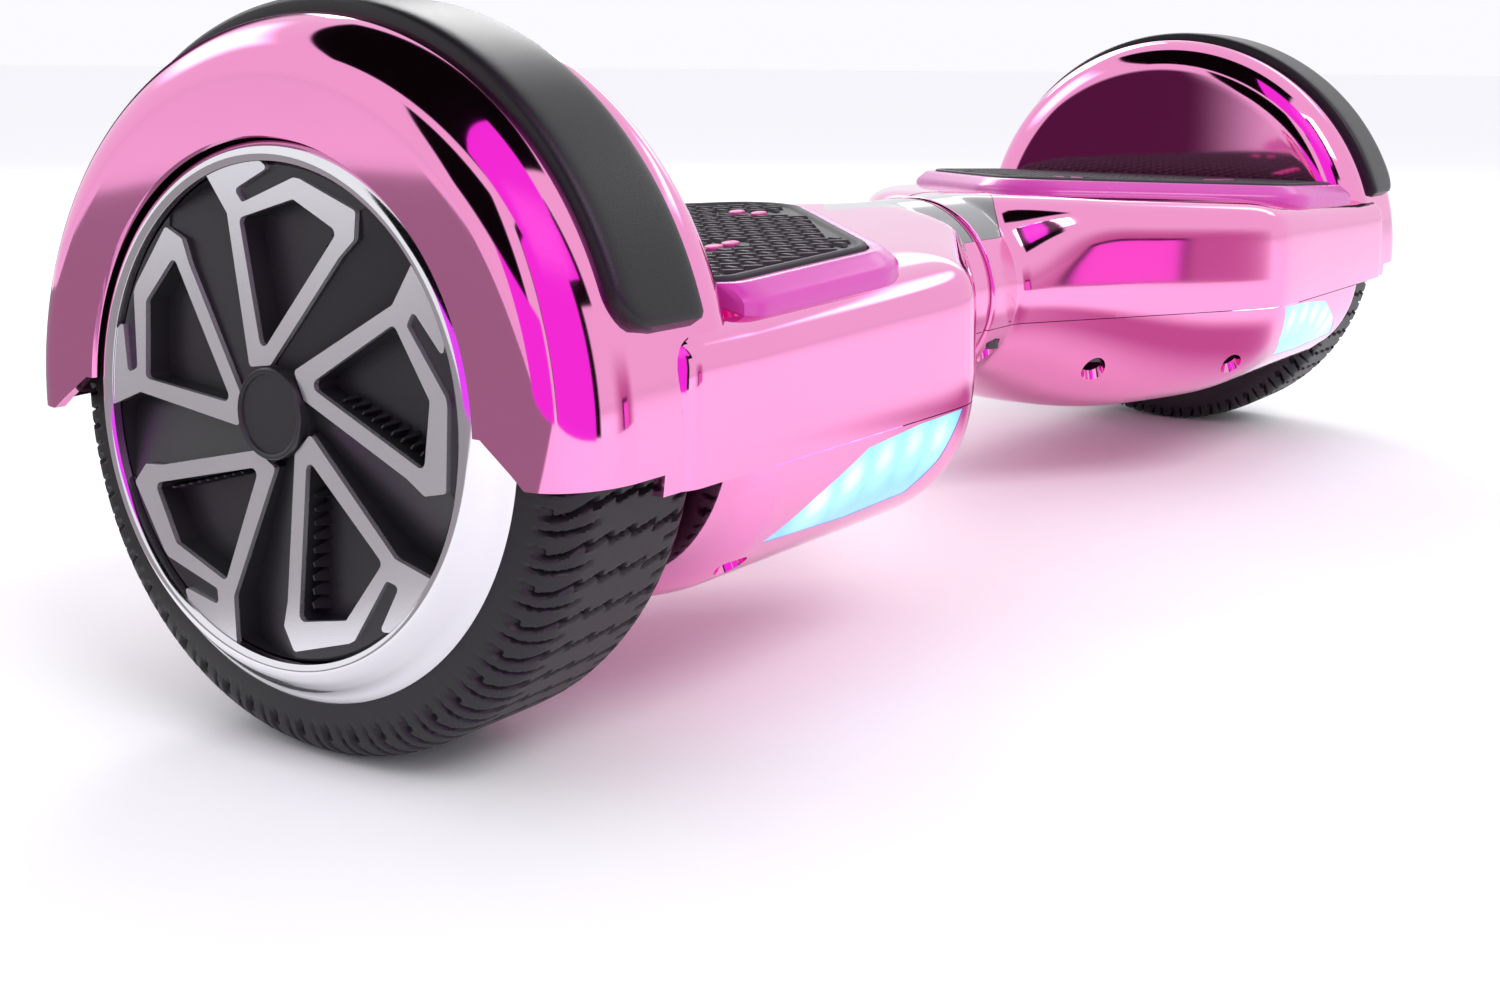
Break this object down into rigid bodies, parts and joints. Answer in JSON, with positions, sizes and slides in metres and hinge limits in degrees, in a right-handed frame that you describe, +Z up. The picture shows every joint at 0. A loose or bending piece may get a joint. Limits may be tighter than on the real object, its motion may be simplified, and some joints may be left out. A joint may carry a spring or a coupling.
{
  "type": "self balancing board",
  "caption": "Two-wheeled self balancing board with arched wheel covers, rubber foot pads on two halves that swivel on a centre shaft, and hub motor wheels.",
  "frame": {"origin": "on the floor, midway between the wheels under the axle line", "axes": "+X along the wheel axles towards the right half, front face towards -Y, +Z up"},
  "size_m": [0.584, 0.186, 0.1775],
  "materials": {
    "shell_chrome": "mirror-bright pink electroplated moulding",
    "bumper_plastic": "satin black moulded strip",
    "skirt_plastic": "gloss magenta moulding",
    "pad_rubber": "matte black with a raised slanted dash pattern",
    "headlight": "clear pale blue lens, lit from behind",
    "led_light": "white light-emitting diodes on a white board",
    "smoked_window": "smoked grey",
    "cast_alloy": "as cast",
    "circuit_board": "green laminate",
    "bolt_steel": "black oxide",
    "shaft_steel": "ground",
    "winding": "enamelled copper",
    "tyre_rubber": "solid moulded rubber with wavy grooves",
    "motor_alloy": "turned",
    "magnet_steel": "plated magnets in a steel ring",
    "trim_chrome": "bright plated",
    "hubcap_plastic": "satin charcoal",
    "spoke_finish": "fine brushed silver",
    "bush_bronze": "sintered bronze",
    "seal_rubber": "magenta",
    "battery_wrap": "blue shrink wrap",
    "button_plastic": "silver",
    "black_plastic": "moulded black",
    "cable_black": "sheathed loom"
  },
  "bodies": {
    "left_half": {"left_top_shell": "shell_chrome", "left_bottom_shell": "shell_chrome", "left_bumper": "bumper_plastic", "left_pad_skirt": "skirt_plastic", "left_headlight_lens": "headlight", "left_headlight_board": "led_light", "left_indicator_window": "smoked_window", "left_chassis": "cast_alloy", "left_sensor_board": "circuit_board", "left_axle_clamp": "cast_alloy", "left_clamp_bolts": "bolt_steel", "left_shell_screws": "bolt_steel", "left_axle": "shaft_steel", "left_stator": "winding", "pivot_shaft": "shaft_steel", "pivot_circlip": "bolt_steel", "joint_seal": "seal_rubber", "battery_pack": "battery_wrap", "charge_socket": "black_plastic", "link_cable": "cable_black"},
    "right_half": {"right_top_shell": "shell_chrome", "right_bottom_shell": "shell_chrome", "right_bumper": "bumper_plastic", "right_pad_skirt": "skirt_plastic", "right_headlight_lens": "headlight", "right_headlight_board": "led_light", "right_indicator_window": "smoked_window", "right_chassis": "cast_alloy", "right_sensor_board": "circuit_board", "right_axle_clamp": "cast_alloy", "right_clamp_bolts": "bolt_steel", "right_shell_screws": "bolt_steel", "right_axle": "shaft_steel", "right_stator": "winding", "pivot_bushes": "bush_bronze", "main_board": "circuit_board", "button_switch": "black_plastic"},
    "left_wheel": {"left_tyre": "tyre_rubber", "left_motor_shell": "motor_alloy", "left_motor_cover": "motor_alloy", "left_magnet_ring": "magnet_steel", "left_wheel_bearings": "shaft_steel", "left_chrome_ring": "trim_chrome", "left_hubcap": "hubcap_plastic", "left_spoke_trim": "spoke_finish", "left_centre_cap": "hubcap_plastic"},
    "right_wheel": {"right_tyre": "tyre_rubber", "right_motor_shell": "motor_alloy", "right_motor_cover": "motor_alloy", "right_magnet_ring": "magnet_steel", "right_wheel_bearings": "shaft_steel", "right_chrome_ring": "trim_chrome", "right_hubcap": "hubcap_plastic", "right_spoke_trim": "spoke_finish", "right_centre_cap": "hubcap_plastic"},
    "left_pad": {"left_foot_pad": "pad_rubber"},
    "right_pad": {"right_foot_pad": "pad_rubber"},
    "power_key": {"power_button": "button_plastic"}
  },
  "joints": [
    {"name": "centre_swivel", "type": "hinge", "parent": "left_half", "child": "right_half", "pos_m": [0, 0, 0.0825], "axis": [1, 0, 0], "range_deg": [-12, 12]},
    {"name": "left_wheel_spin", "type": "hinge", "parent": "left_half", "child": "left_wheel", "pos_m": [-0.26, 0, 0.0825], "axis": [1, 0, 0], "continuous": true},
    {"name": "right_wheel_spin", "type": "hinge", "parent": "right_half", "child": "right_wheel", "pos_m": [0.26, 0, 0.0825], "axis": [1, 0, 0], "continuous": true},
    {"name": "left_pad_press", "type": "slide", "parent": "left_half", "child": "left_pad", "axis": [0, 0, -1], "range_m": [0, 0.001], "stiffness_N_per_m": 60000, "springref_m": -0.0003},
    {"name": "right_pad_press", "type": "slide", "parent": "right_half", "child": "right_pad", "axis": [0, 0, -1], "range_m": [0, 0.001], "stiffness_N_per_m": 60000, "springref_m": -0.0003},
    {"name": "power_button_press", "type": "slide", "parent": "right_half", "child": "power_key", "axis": [0, -1, 0], "range_m": [0, 0.001], "stiffness_N_per_m": 1500, "springref_m": -0.0005}
  ]
}
